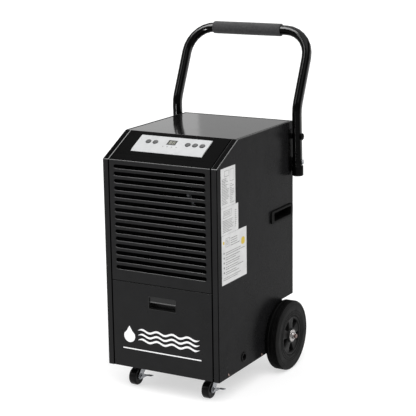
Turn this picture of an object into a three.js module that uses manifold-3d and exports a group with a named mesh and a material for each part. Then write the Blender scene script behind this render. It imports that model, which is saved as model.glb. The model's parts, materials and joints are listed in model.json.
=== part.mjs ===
// Commercial dehumidifier on wheels with a folding push handle.
// Millimetres, +Z up, +X to the right as seen from the front, +Y to the rear, z = 0 on the floor.
import * as THREE from 'three';
import { mergeVertices } from 'three/addons/utils/BufferGeometryUtils.js';
import Module from 'manifold-3d';

const wasm = await Module();
wasm.setup();

// ---- driving dimensions ----
const GAP = 0.3;                      // clearance between touching pieces
const SHEET = 1.6;                    // sheet metal
const HALF_W = 178;                   // cabinet half width
const FRONT = -224.5;
const REAR = 224.5;
const BOTTOM = 67;
const TOP = 716;
const SLOPE_FOOT = 655;               // height where the sloped control face starts
const SLOPE_HEAD = -106.5;            // y where it meets the top
const NOTCH_Y = 154;                  // cut-away under the rear, so the machine can tip back
const NOTCH_Z = 202;
const SEAM_Y = 207.5;                 // side panel ends here, rear panel flange takes over
const FLANGE_X = 160;                 // inner edge of the side panels' front flange
const SEAM = 1.6;                     // open joint beside the front panels
const TANK_TOP_SEAM = 314.5;          // joint between tank front and grille panel
const DECK_Z = 322;                   // deck between tank bay and cooling section

const SLOTS = 15;
const SLOT_FIRST = 354.2;
const SLOT_PITCH = 20.2;
const SLOT_HALF = 143.5;
const SLOT_H = 11.4;
const INTAKE_ROWS = 9;

const WHEEL_R = 101.4;                // 8 inch rear wheel
const WHEEL_Y = 139.7;
const WHEEL_IN = 180.5;
const WHEEL_OUT = 218;
const HUB_R = 57;
const AXLE_R = 6;

const CASTER_X = 117.8;
const CASTER_Y = -153;                // swivel axis
const CASTER_TRAIL = 24;
const CASTER_R = 25;

const LEG_X = 197.5;                  // handle leg axis
const TUBE_R = 14;
const GRIP_R = 18.4;                  // foam sleeve on the bar
const PIVOT_Y = 216;
const PIVOT_Z = 600;
const LATCH_Z = 673.5;
const KINK_Y = 210.5;
const KINK_Z = 754.5;
const BAR_Y = 305.4;
const BAR_Z = 963.6;
const LEG_END_Z = 562.5;
const BEND_R = 80;

// The origin lies on the floor under the middle of the whole machine, handle up.
const DATUM_Y = 49.35;

// ---- materials ----
const paint = { color: 0x1b1b1d, roughness: 0.3, metalness: 0.0 };
const gloss = { color: 0x0c0c0d, roughness: 0.15, metalness: 0.0 };
const inner = { color: 0x8d9094, roughness: 0.5, metalness: 0.6 };
const black = { color: 0x18181a, roughness: 0.5, metalness: 0.0 };
const rubber = { color: 0x141415, roughness: 0.8, metalness: 0.0 };
const zinc = { color: 0xb8bcc2, roughness: 0.28, metalness: 0.9 };
const copper = { color: 0xb06a3c, roughness: 0.35, metalness: 0.9 };
const fins = { color: 0xc9ccd0, roughness: 0.4, metalness: 0.8 };
const white = { color: 0xe9e9e7, roughness: 0.4, metalness: 0.0 };
const foam = { color: 0x2a2a2b, roughness: 0.95, metalness: 0.0 };
const lens = { color: 0x3a3f33, roughness: 0.1, metalness: 0.0 };
const tankGrey = { color: 0xa9adb0, roughness: 0.45, metalness: 0.0 };
const pcb = { color: 0x1f5a34, roughness: 0.5, metalness: 0.0 };

const group = new THREE.Group();
group.name = 'dehumidifier';

// ---- solid helpers ----
const M4 = THREE.Matrix4;
const V3 = THREE.Vector3;
const AXES = {
  x: new M4().set(0, 0, 1, 0, 1, 0, 0, 0, 0, 1, 0, 0, 0, 0, 0, 1),
  y: new M4().set(1, 0, 0, 0, 0, 0, -1, 0, 0, 1, 0, 0, 0, 0, 0, 1),
  z: new M4(),
};

function solid(geometry) {
  const clean = geometry.clone();
  for (const name of Object.keys(clean.attributes)) {
    if (name !== 'position') clean.deleteAttribute(name);
  }
  const welded = mergeVertices(clean, 1e-4);
  const mesh = new wasm.Mesh({
    numProp: 3,
    vertProperties: new Float32Array(welded.attributes.position.array),
    triVerts: new Uint32Array(welded.index.array),
  });
  mesh.merge();
  return new wasm.Manifold(mesh);
}

function geometryOf(body) {
  const mesh = body.getMesh();
  const geometry = new THREE.BufferGeometry();
  geometry.setAttribute('position', new THREE.BufferAttribute(new Float32Array(mesh.vertProperties), 3));
  geometry.setIndex(new THREE.BufferAttribute(new Uint32Array(mesh.triVerts), 1));
  const flat = geometry.toNonIndexed();
  flat.computeVertexNormals();
  return flat;
}

const join = (...parts) => parts.map(solid).reduce((a, b) => a.add(b));
const cut = (body, ...tools) => tools.map(solid).reduce((a, b) => a.subtract(b), body);

function piece(name, shape, material) {
  const geometry = (shape.isBufferGeometry ? shape.clone() : geometryOf(shape)).translate(0, -DATUM_Y, 0);
  const mesh = new THREE.Mesh(geometry, new THREE.MeshStandardMaterial(material));
  mesh.name = name;
  group.add(mesh);
  return mesh;
}

function box(x0, x1, y0, y1, z0, z1) {
  const g = new THREE.BoxGeometry(x1 - x0, y1 - y0, z1 - z0);
  return g.translate((x0 + x1) / 2, (y0 + y1) / 2, (z0 + z1) / 2);
}

// Extrude an outline along an axis from a to b. Outline coordinates are (y,z), (x,z) or (x,y).
function prism(axis, outline, a, b, curveSegments = 3) {
  const points = Array.isArray(outline) ? outline.map((p) => new THREE.Vector2(...p)) : null;
  const shape = points ? new THREE.Shape(points) : outline;
  const g = new THREE.ExtrudeGeometry(shape, { depth: b - a, bevelEnabled: false, curveSegments });
  g.applyMatrix4(AXES[axis]);
  if (axis === 'x') g.translate(a, 0, 0);
  if (axis === 'y') g.translate(0, b, 0);
  if (axis === 'z') g.translate(0, 0, a);
  return g;
}

// Rounded rectangle outline centred on (cx, cy).
function roundRect(cx, cy, w, h, r) {
  const s = new THREE.Shape();
  s.moveTo(cx - w / 2 + r, cy - h / 2);
  s.lineTo(cx + w / 2 - r, cy - h / 2);
  s.absarc(cx + w / 2 - r, cy - h / 2 + r, r, -Math.PI / 2, 0);
  s.lineTo(cx + w / 2, cy + h / 2 - r);
  s.absarc(cx + w / 2 - r, cy + h / 2 - r, r, 0, Math.PI / 2);
  s.lineTo(cx - w / 2 + r, cy + h / 2);
  s.absarc(cx - w / 2 + r, cy + h / 2 - r, r, Math.PI / 2, Math.PI);
  s.lineTo(cx - w / 2, cy - h / 2 + r);
  s.absarc(cx - w / 2 + r, cy - h / 2 + r, r, Math.PI, Math.PI * 1.5);
  return s;
}

// Slot outline with round ends, `steps` facets per end.
function slotOutline(cx, cz, length, height, steps) {
  const r = height / 2;
  const ends = [1, -1].flatMap((s) => Array.from({ length: steps + 1 }, (_, i) => {
    const t = -Math.PI / 2 + (Math.PI * i) / steps;
    return [cx + s * (length / 2 - r + r * Math.cos(t)), cz + s * r * Math.sin(t)];
  }));
  return ends;
}

// Cylinder along an axis. The centre is given by the two other coordinates.
function rod(axis, r, a, b, c1, c2, sides = 24) {
  const ring = [];
  for (let i = 0; i < sides; i += 1) {
    const t = (i / sides) * Math.PI * 2;
    ring.push([c1 + r * Math.cos(t), c2 + r * Math.sin(t)]);
  }
  return prism(axis, ring, a, b);
}

// Revolve an (r, h) profile round an axis, h running along it from the given centre.
function turned(axis, profile, centre, segments = 32) {
  const closed = [...profile, profile[0]];
  const g = new THREE.LatheGeometry(closed.map((p) => new THREE.Vector2(...p)), segments);
  if (axis === 'x') g.rotateZ(-Math.PI / 2);
  if (axis === 'z') g.rotateX(Math.PI / 2);
  return g.translate(...centre);
}

// Bent sheet: a polyline thickened to its right-hand side, as a closed outline.
function bentSheet(points, t) {
  const p = points.map((q) => new THREE.Vector2(...q));
  const dirs = p.slice(1).map((q, i) => q.clone().sub(p[i]).normalize());
  const normal = (d) => new THREE.Vector2(d.y, -d.x);
  const inside = p.map((q, i) => {
    const a = normal(dirs[Math.max(i - 1, 0)]);
    const b = normal(dirs[Math.min(i, dirs.length - 1)]);
    const m = a.clone().add(b);
    return q.clone().addScaledVector(m, t / (1 + a.dot(b)));
  });
  return [...p, ...inside.reverse()].map((q) => [q.x, q.y]);
}

// Path through corner points with rounded corners, with stations only at its ends and in its bends.
class StationPath extends THREE.Curve {
  constructor(stations) {
    super();
    this.stations = stations;
  }

  station(u) {
    return this.stations[Math.round(u * (this.stations.length - 1))];
  }

  getPointAt(u, target = new V3()) {
    return target.copy(this.station(u).point);
  }

  getTangentAt(u, target = new V3()) {
    return target.copy(this.station(u).tangent);
  }
}

function roundedPath(points, radii, facet = 0.5) {
  const p = points.map((q) => new V3(...q));
  const stations = [{ point: p[0], tangent: p[1].clone().sub(p[0]).normalize() }];
  for (let i = 1; i < p.length - 1; i += 1) {
    const d0 = p[i].clone().sub(p[i - 1]).normalize();
    const d1 = p[i + 1].clone().sub(p[i]).normalize();
    const angle = d0.angleTo(d1);
    const start = p[i].clone().addScaledVector(d0, -radii[i - 1] * Math.tan(angle / 2));
    const turn = d0.clone().cross(d1).normalize();
    const side = turn.clone().cross(d0);
    const steps = Math.max(2, Math.round(angle / facet));
    for (let k = 0; k <= steps; k += 1) {
      const t = (angle * k) / steps;
      const point = start.clone().addScaledVector(d0, radii[i - 1] * Math.sin(t))
        .addScaledVector(side, radii[i - 1] * (1 - Math.cos(t)));
      stations.push({ point, tangent: d0.clone().applyAxisAngle(turn, t) });
    }
  }
  const end = p[p.length - 1];
  stations.push({ point: end, tangent: end.clone().sub(p[p.length - 2]).normalize() });
  return new StationPath(stations);
}

function circlePoints(r, sides) {
  return Array.from({ length: sides }, (_, i) => {
    const t = (i / sides) * Math.PI * 2;
    return new THREE.Vector2(r * Math.cos(t), r * Math.sin(t));
  });
}

function pipe(path, r, bore, sides) {
  const shape = new THREE.Shape(circlePoints(r, sides));
  if (bore > 0) shape.holes.push(new THREE.Path(circlePoints(bore, sides / 2).reverse()));
  const steps = path.stations.length - 1;
  return new THREE.ExtrudeGeometry(shape, { steps, extrudePath: path, bevelEnabled: false });
}

// Place a solid given in slope coordinates: x across, y up the slope, z out of its face.
const SLOPE_RUN = SLOPE_HEAD - FRONT;
const SLOPE_RISE = TOP - SLOPE_FOOT;
const SLOPE_LEN = Math.hypot(SLOPE_RUN, SLOPE_RISE);
const TILT = Math.atan2(SLOPE_RISE, SLOPE_RUN);
const onSlope = (g) => g.rotateX(TILT).translate(0, FRONT, SLOPE_FOOT);

const mirrorX = (g) => {
  const m = g.clone().applyMatrix4(new M4().makeScale(-1, 1, 1));
  const index = m.index;
  if (index) {
    for (let i = 0; i < index.count; i += 3) {
      const a = index.getX(i);
      index.setX(i, index.getX(i + 1));
      index.setX(i + 1, a);
    }
    return m;
  }
  const p = m.attributes.position;
  const a = new V3();
  const b = new V3();
  for (let i = 0; i < p.count; i += 3) {
    a.fromBufferAttribute(p, i);
    b.fromBufferAttribute(p, i + 1);
    p.setXYZ(i, b.x, b.y, b.z);
    p.setXYZ(i + 1, a.x, a.y, a.z);
  }
  m.computeVertexNormals();
  return m;
};

// A right-hand piece and its mirror image on the left.
function pair(name, shape, material) {
  const right = shape.isBufferGeometry ? shape : geometryOf(shape);
  piece(`${name}_right`, right, material);
  piece(`${name}_left`, mirrorX(right), material);
}

// ---- cabinet ----
const slopePoint = (u) => [FRONT + u * Math.cos(TILT), SLOPE_FOOT + u * Math.sin(TILT)];
const INNER_X = HALF_W - SHEET;

const basePan = join(
  prism('x', bentSheet([[FRONT + 2.2, BOTTOM], [NOTCH_Y, BOTTOM],
    [NOTCH_Y, NOTCH_Z], [REAR - 2.2, NOTCH_Z], [REAR - 2.2, NOTCH_Z + 16]].reverse(), SHEET),
  -INNER_X + GAP, INNER_X - GAP),
  ...[-1, 1].map((s) => box(s * 150 - 1.5, s * 150 + 1.5, 118, NOTCH_Y - 1, BOTTOM + 1, 124)),
  ...[-1, 1].map((s) => box(s * 175.3 - 0.8, s * 175.3 + 0.8, -221, NOTCH_Y - 1, BOTTOM + 0.5, BOTTOM + 14)),
);
piece('base_pan', cut(basePan, rod('x', AXLE_R + GAP, -180, 180, WHEEL_Y, WHEEL_R)), inner);

const sideOutline = [[FRONT, BOTTOM], [NOTCH_Y, BOTTOM], [NOTCH_Y, NOTCH_Z], [SEAM_Y, NOTCH_Z],
  [SEAM_Y, TOP], [SLOPE_HEAD, TOP], [FRONT, SLOPE_FOOT]];
const flangeOutline = bentSheet([[FRONT, BOTTOM], [FRONT, SLOPE_FOOT], [SLOPE_HEAD, TOP]], SHEET);
const sideBlank = join(
  prism('x', sideOutline, INNER_X, HALF_W),
  prism('x', flangeOutline, FLANGE_X, INNER_X + 0.5),
);
const sideRight = geometryOf(cut(
  sideBlank,
  box(170, 190, 94.5, 205.5, 444.5, 473.5),
  rod('x', AXLE_R + 1.5, 170, 190, WHEEL_Y, WHEEL_R),
  rod('x', 4.5, 170, 190, 202, PIVOT_Z + 34, 16),
));
piece('side_panel_left', mirrorX(sideRight), paint);
piece('side_panel_right', cut(solid(sideRight), rod('x', 12 + GAP, 170, 190, -84, 99)), paint);

piece('top_panel', join(
  box(-INNER_X + GAP, INNER_X - GAP, SLOPE_HEAD + 1.2, REAR - SHEET - GAP, TOP - SHEET, TOP),
  ...[-1, 1].map((s) => box(s * 175.3 - 0.8, s * 175.3 + 0.8, SLOPE_HEAD + 8, REAR - 20, TOP - 14, TOP - 1)),
), paint);

// Rear panel: tray-shaped sheet with air intake slots and guides for the filter cassette.
const FILTER = { x: 138, y0: 228, y1: 238, z0: 352, z1: 690 };
const intake = [];
for (let i = 0; i < INTAKE_ROWS; i += 1) {
  intake.push(prism('y', slotOutline(0, 380 + i * 35, 250, 20, 4), REAR - 10, REAR + 10));
}
const guide = (s) => prism('z', [[139.5, REAR - 1], [143.5, REAR - 1], [143.5, 241.5], [132, 241.5],
  [132, 239.5], [139.5, 239.5]].map(([x, y]) => [s * x, y]), 346, 690);
const rearPanel = join(
  box(-HALF_W, HALF_W, REAR - SHEET, REAR, NOTCH_Z, TOP),
  ...[-1, 1].map((s) => box(s * (HALF_W - 0.8) - 0.8, s * (HALF_W - 0.8) + 0.8,
    SEAM_Y + GAP, REAR - 1, NOTCH_Z, TOP)),
  guide(1),
  guide(-1),
  box(-143.5, 143.5, REAR - 1, 241.5, 342, 348),
);
piece('rear_panel', cut(rearPanel, ...intake, rod('y', 8, REAR - 10, REAR + 10, -120, 250),
  ...[-1, 1].map((s) => rod('x', 4.3, s * 178 - 10, s * 178 + 10, PIVOT_Y, PIVOT_Z, 16))), paint);

// Filter cassette that lifts out of the guides.
const filterBars = [];
for (let i = 1; i < 5; i += 1) {
  const z = FILTER.z0 + i * (FILTER.z1 - FILTER.z0) / 5;
  filterBars.push(box(-FILTER.x + 4, FILTER.x - 4, 232, 235, z - 2, z + 2));
}
for (let i = -1; i <= 1; i += 1) {
  filterBars.push(box(i * 66 - 2, i * 66 + 2, 232, 235, FILTER.z0 + 4, FILTER.z1 - 4));
}
const filterStile = (x) => box(x - 4, x + 4, FILTER.y0, FILTER.y1, FILTER.z0, FILTER.z1);
piece('air_filter', join(
  filterStile(-FILTER.x + 4),
  filterStile(FILTER.x - 4),
  box(-FILTER.x + 1, FILTER.x - 1, FILTER.y0, FILTER.y1, FILTER.z0, FILTER.z0 + 8),
  box(-FILTER.x + 1, FILTER.x - 1, FILTER.y0, FILTER.y1, FILTER.z1 - 8, FILTER.z1),
  box(-28, 28, 230, 244, FILTER.z1 - 3, FILTER.z1),
  ...filterBars,
), black);

// Front grille panel, with its upper edge folded on to the slope.
const slots = [];
for (let i = 0; i < SLOTS; i += 1) {
  const outline = slotOutline(0, SLOT_FIRST + i * SLOT_PITCH, SLOT_HALF * 2, SLOT_H, 6);
  slots.push(prism('y', outline, FRONT - 4, FRONT + 4));
}
const PANEL_X = FLANGE_X - SEAM;
const grilleOutline = bentSheet([[FRONT, TANK_TOP_SEAM + 1], [FRONT, SLOPE_FOOT], slopePoint(28)], SHEET);
piece('front_grille', cut(join(
  prism('x', grilleOutline, -PANEL_X, PANEL_X),
  ...[-1, 1].map((s) => box(s * (PANEL_X - 1) - 0.8, s * (PANEL_X - 1) + 0.8,
    FRONT + 1, FRONT + 16, TANK_TOP_SEAM + 1, SLOPE_FOOT - 8)),
), ...slots), paint);

// ---- control panel, in slope coordinates ----
const BUTTON_U = 87;
const BUTTON_X = {
  left_outer: -76.8,
  left_inner: -54.5,
  right_inner: 47.3,
  right_middle: 69.8,
  right_outer: 92.4,
};
const LED_X = [-23, -9.6, 4.6, 18.7];
const LED_U = 71.5;
const BEZEL = { x: 111, u0: 43.8, u1: 114.2, n: 3.3 };
const openings = [
  ...Object.values(BUTTON_X).map((x) => rod('z', 8 + GAP, -8, 8, x, BUTTON_U, 18)),
  ...LED_X.map((x) => rod('z', 1.6 + GAP, -8, 8, x, LED_U, 8)),
  box(-17 - GAP, 10.5 + GAP, 80.3 - GAP, 100.6 + GAP, -8, 8),
];
const controlSheet = cut(solid(box(-PANEL_X, PANEL_X, 28.4, SLOPE_LEN - 0.2, -SHEET, 0)), ...openings);
piece('control_panel', onSlope(geometryOf(controlSheet)), gloss);
const bezelBlank = prism('x', [[BEZEL.u0, GAP], [BEZEL.u1, GAP], [BEZEL.u1, BEZEL.n - 0.6],
  [BEZEL.u1 - 0.6, BEZEL.n], [54, BEZEL.n], [BEZEL.u0, 1.2]], -BEZEL.x, BEZEL.x);
piece('control_bezel', onSlope(geometryOf(cut(solid(bezelBlank), ...openings))), white);
piece('display_window', onSlope(box(-17, 10.5, 80.3, 100.6, -6, BEZEL.n - 0.3)), lens);
piece('indicator_lights', onSlope(geometryOf(join(
  box(-30, 26, 66, 77, -4.5, -SHEET - GAP),
  ...LED_X.map((x) => rod('z', 1.6, -4, BEZEL.n + 0.2, x, LED_U, 8)),
))), lens);
for (const [place, x] of Object.entries(BUTTON_X)) {
  const cap = turned('z', [[0, -5], [8, -5], [8, 4.2], [7, 5.2], [0, 5.2]], [x, BUTTON_U, 0], 18);
  piece(`button_${place}`, onSlope(cap), black);
}
piece('control_board', onSlope(geometryOf(join(
  box(-100, 104, 52, 108, -16, -14.4),
  box(-40, -20, 56, 66, -14.6, -11),
  box(60, 84, 54, 62, -14.6, -10),
  box(-90, -60, 90, 104, -24, -15.8),
  box(20, 50, 60, 100, -30, -15.8),
))), pcb);

// ---- cooling section ----
const deckHoles = [
  rod('z', 6, 310, 330, 162, 74, 16),
  rod('z', 7, 310, 330, -162, 74, 16),
  rod('z', 9, 310, 330, 0, -25, 20),
];
piece('deck', cut(join(
  box(-INNER_X + GAP, INNER_X - GAP, FRONT + 17, REAR - 3, DECK_Z, DECK_Z + SHEET),
  ...[-1, 1].map((s) => box(s * 175.3 - 0.8, s * 175.3 + 0.8, FRONT + 20, REAR - 20,
    DECK_Z - 12, DECK_Z + 0.5)),
), ...deckHoles), inner);

piece('drip_tray', cut(join(
  box(-150, 150, -45, 212, 324.5, 340),
  rod('z', 8, 301, 326, 0, -25, 20),
), box(-148, 148, -43, 210, 327, 342), rod('z', 6, 300, 330, 0, -25, 20)), black);

// Finned coil: combed core, end plates and return bends.
function coil(y0, y1, z0, z1, rows) {
  const half = 132;
  const pitch = 16.5;
  const mid = (y0 + y1) / 2;
  const comb = [];
  const count = Math.floor((2 * half) / pitch);
  for (let i = 0; i < count; i += 1) {
    const x = -half + i * pitch;
    comb.push([x, y0], [x + 5, y0], [x + 5, mid - 4], [x + pitch, mid - 4]);
  }
  for (let i = count - 1; i >= 0; i -= 1) {
    const x = -half + i * pitch;
    comb.push([x + pitch, mid + 4], [x + 5, mid + 4], [x + 5, y1], [x, y1]);
  }
  const bends = [];
  for (let i = 0; i < rows; i += 1) {
    const z = z0 + (i + 0.5) * (z1 - z0) / rows;
    const loop = (z1 - z0) / rows / 4;
    for (const s of [-1, 1]) {
      bends.push(pipe(roundedPath([[s * 130, mid, z - loop], [s * 146, mid, z - loop],
        [s * 146, mid, z + loop], [s * 130, mid, z + loop]], [7, 7], 0.8), 4, 0, 6));
    }
  }
  return join(
    prism('z', comb, z0, z1),
    ...[-1, 1].map((s) => box(s * 133 - 1.5, s * 133 + 1.5, y0 - 1, y1 + 1, z0, z1)),
    ...bends,
  );
}
piece('evaporator_coil', coil(178, 208, 346, 694, 3), fins);
piece('condenser_coil', coil(136, 166, 346, 694, 3), fins);

const FAN_Z = 520;
const FAN_R = 118;
piece('fan_shroud', cut(join(
  box(-150, 150, 120, 122, 344, 698),
  turned('y', [[FAN_R + 6, 84], [FAN_R + 8.5, 84], [FAN_R + 8.5, 121], [FAN_R + 6, 121]], [0, 0, FAN_Z], 28),
  box(-148, 148, 58, 62, FAN_Z - 9, FAN_Z + 9),
  rod('y', 54, 58, 62, 0, FAN_Z, 20),
  ...[-1, 1].map((s) => box(s * 146 - 2, s * 146 + 2, 58, 121, FAN_Z - 9, FAN_Z + 9)),
), rod('y', FAN_R + 6, 100, 130, 0, FAN_Z, 28), rod('y', 44.5, 50, 70, 0, FAN_Z, 20)), black);

piece('fan_motor', turned('y', [[0, 12], [34, 12], [44, 22], [44, 64], [34, 74],
  [12, 79], [5, 79], [5, 104], [0, 104]], [0, 0, FAN_Z], 20), inner);

function fanBlade(angle) {
  const g = new THREE.BoxGeometry(96, 34, 2.6, 3, 2, 1);
  const p = g.attributes.position;
  for (let i = 0; i < p.count; i += 1) {
    const x = p.getX(i);
    const twist = 0.75 - 0.35 * ((x + 48) / 96);
    const widen = 1 + 0.9 * ((x + 48) / 96);
    const y = p.getY(i) * widen;
    const z = p.getZ(i) + y * y * 0.004;
    p.setXYZ(i, x, y * Math.cos(twist) - z * Math.sin(twist), y * Math.sin(twist) + z * Math.cos(twist));
  }
  g.translate(70, 0, 0);
  g.rotateZ(angle);
  return g.rotateX(Math.PI / 2).translate(0, 97, FAN_Z);
}
const blades = [0, 1, 2, 3, 4].map((i) => fanBlade((i * Math.PI * 2) / 5 + 0.3));
piece('fan_rotor', cut(join(rod('y', 26, 84, 110, 0, FAN_Z, 20), ...blades),
  rod('y', 5 + GAP, 80, 115, 0, FAN_Z, 10)), black);

const COMPRESSOR = [62, 72];
piece('compressor', join(
  turned('z', [[0, 76], [48, 76], [55, 84], [57, 96], [57, 232], [52, 250],
    [38, 261], [18, 266], [0, 267]], [...COMPRESSOR, 0], 24),
  box(4, 120, 16, 128, 73, 77),
  ...[[12, 24], [112, 24], [12, 118], [112, 118]].map(([x, y]) => rod('z', 7, 69, 74, x, y, 10)),
  box(100, 131, 58, 88, 150, 200),
), black);

piece('hot_gas_pipe', pipe(roundedPath([[62, 62, 267.5], [62, 62, 296], [162, 74, 296], [162, 74, 640],
  [162, 151, 640], [153, 151, 640]], [12, 14, 14, 8]), 4, 0, 8), copper);
piece('suction_pipe', pipe(roundedPath([[50, 84, 266.5], [50, 84, 288], [-162, 74, 288], [-162, 74, 640],
  [-162, 193, 640], [-153, 193, 640]], [12, 14, 14, 8]), 5, 0, 8), copper);

piece('power_gland', cut(join(
  rod('y', 7.6, REAR - 14, REAR + 4, -120, 250, 20),
  rod('y', 12, REAR + GAP, REAR + 5, -120, 250, 6),
  turned('y', [[0, 4], [10, 4], [10, 13], [7, 18], [0, 18]], [-120, REAR, 250], 24),
), rod('y', 4.5, REAR - 20, REAR + 30, -120, 250, 16)), black);

piece('drain_port', cut(join(
  rod('x', 12, 158, HALF_W + 1, -84, 99, 18),
  turned('x', [[0, HALF_W + GAP], [14.5, HALF_W + GAP], [14.5, HALF_W + 1.4], [13.4, HALF_W + 2.2],
    [0, HALF_W + 2.2]], [0, -84, 99], 20),
), rod('x', 9, 165, 190, -84, 99, 18), rod('x', 5, 150, 190, -80.5, 99, 12)), rubber);

// ---- water tank drawer ----
const TANK = { x: 148, y0: -222.6, y1: 8, z0: 69, z1: 296, wall: 3 };
const PULL = { x0: -42.5, x1: 47.5, z0: 245, z1: 283, depth: 26 };

// Room kept free for the finger pull, `extra` wider than its cup.
const pullRoom = (extra) => solid(box(PULL.x0 - extra, PULL.x1 + extra, TANK.y0 - 1,
  FRONT + PULL.depth + extra - 1, PULL.z0 - extra, TANK.z1 + 2));
const tankOuter = solid(box(-TANK.x, TANK.x, TANK.y0, TANK.y1, TANK.z0, TANK.z1)).subtract(pullRoom(5));
const tankInner = solid(box(-TANK.x + TANK.wall, TANK.x - TANK.wall, TANK.y0 + TANK.wall,
  TANK.y1 - TANK.wall, TANK.z0 + TANK.wall, TANK.z1 + 1)).subtract(pullRoom(5 + TANK.wall));
const floatLugs = [-1, 1].map((s) => solid(box(-90 + s * 14 - 2, -90 + s * 14 + 2, -20, 6, 262, 280)));
piece('water_tank', cut(tankOuter.subtract(tankInner).add(floatLugs[0]).add(floatLugs[1]),
  rod('x', 2.5 + GAP, -110, -70, -12, 271, 12)), tankGrey);

piece('float_arm', join(
  rod('x', 2.5, -107, -73, -12, 271, 12),
  box(-95, -85, -15, -9, 268, 274),
  prism('x', [[-12, 268.5], [-12, 273.5], [-70, 236], [-70, 231]], -94, -86),
  prism('x', [[-112, 214], [-62, 214], [-58, 219], [-58, 235], [-62, 240], [-112, 240]], -112, -68),
), white);

const pullX = (PULL.x0 + PULL.x1) / 2;
const pullZ = (PULL.z0 + PULL.z1) / 2;
const pullW = PULL.x1 - PULL.x0;
const pullH = PULL.z1 - PULL.z0;
piece('tank_front', cut(join(
  box(-PANEL_X, PANEL_X, FRONT, FRONT + SHEET, 68, TANK_TOP_SEAM),
  ...[-1, 1].map((s) => box(s * (PANEL_X - 1) - 0.8, s * (PANEL_X - 1) + 0.8,
    FRONT + 1, FRONT + 16, 84, TANK_TOP_SEAM - 1)),
), prism('y', roundRect(pullX, pullZ, pullW, pullH, 3), FRONT - 3, FRONT + 3)), paint);

// Finger pull: open cup with a lip hanging down behind its upper edge.
const cupW = pullW - 2 * GAP;
const cupH = pullH - 2 * GAP;
const cupBlock = prism('y', roundRect(pullX, pullZ, cupW, cupH, 2.8), FRONT - 0.6, FRONT + PULL.depth);
const cupHollow = prism('y', roundRect(pullX, pullZ, cupW - 4, cupH - 4, 2),
  FRONT - 3, FRONT + PULL.depth - 2);
const cupLip = prism('x', [[FRONT + 2, PULL.z1 - 1.5], [FRONT + 3.6, PULL.z1 - 18],
  [FRONT + 6, PULL.z1 - 18], [FRONT + 7, PULL.z1 - 1.5]], PULL.x0 + 1.5, PULL.x1 - 1.5);
piece('tank_pull', cut(solid(cupBlock), cupHollow).add(solid(cupLip)), black);

// ---- side grips ----
const gripFrame = join(
  prism('x', roundRect(148.5, 459, 133, 36, 5), HALF_W + GAP, HALF_W + 5),
  box(152, HALF_W + 2, 95, 205, 445, 473),
);
pair('side_grip', cut(gripFrame, prism('x', roundRect(150, 459, 106, 24, 4), 154, 190)), black);

// ---- rear wheels ----
const AXLE_END = 231;
const GROOVE_R = WHEEL_R - 2.6;
piece('rear_axle', rod('x', AXLE_R, -AXLE_END, AXLE_END, WHEEL_Y, WHEEL_R, 16), zinc);
const tyreProfile = [[HUB_R + GAP, WHEEL_IN + 3], [66, WHEEL_IN], [95, WHEEL_IN],
  [99.5, WHEEL_IN + 1.4], [WHEEL_R, WHEEL_IN + 5], [WHEEL_R, 203], [GROOVE_R, 204], [WHEEL_R, 205],
  [WHEEL_R, 208.5], [GROOVE_R, 209.5], [WHEEL_R, 210.5], [WHEEL_R, WHEEL_OUT - 5],
  [98.6, WHEEL_OUT - 1.4], [94, WHEEL_OUT], [66, WHEEL_OUT], [HUB_R + GAP, WHEEL_OUT - 3]];
const wheelCentre = [0, WHEEL_Y, WHEEL_R];
pair('wheel_tyre', turned('x', tyreProfile, wheelCentre, 40), rubber);

const SPOKE_OUT = 213;
const BOSS_OUT = 217.5;
const spokes = [];
for (let i = 0; i < 5; i += 1) {
  const a = Math.PI / 2 + (i * Math.PI * 2) / 5;
  const outline = [[10, -11], [30, -10.5], [53, -17], [53, 17], [30, 10.5], [10, 11]].map(([r, t]) => [
    WHEEL_Y + r * Math.cos(a) - t * Math.sin(a),
    WHEEL_R + r * Math.sin(a) + t * Math.cos(a),
  ]);
  spokes.push(prism('x', outline, 200, SPOKE_OUT));
}
const rimProfile = [[50, 184], [HUB_R, 184], [HUB_R, 214.5], [55, 216], [52.5, 216], [50, 214]];
const hub = join(
  turned('x', rimProfile, wheelCentre, 30),
  rod('x', 21, 182, BOSS_OUT, WHEEL_Y, WHEEL_R, 20),
  ...spokes,
);
pair('wheel_hub', cut(hub, rod('x', AXLE_R + GAP, 170, 230, WHEEL_Y, WHEEL_R, 16)), black);

// Washer and nut in one piece, on the axle's threaded end.
pair('axle_nut', cut(join(
  turned('x', [[0, BOSS_OUT + GAP], [18, BOSS_OUT + GAP], [18, 219], [17, 219.8], [0, 219.8]],
    wheelCentre, 24),
  rod('x', 9.8, 219, 226, WHEEL_Y, WHEEL_R, 6),
), rod('x', AXLE_R + GAP, 210, 240, WHEEL_Y, WHEEL_R, 16)), zinc);

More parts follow.
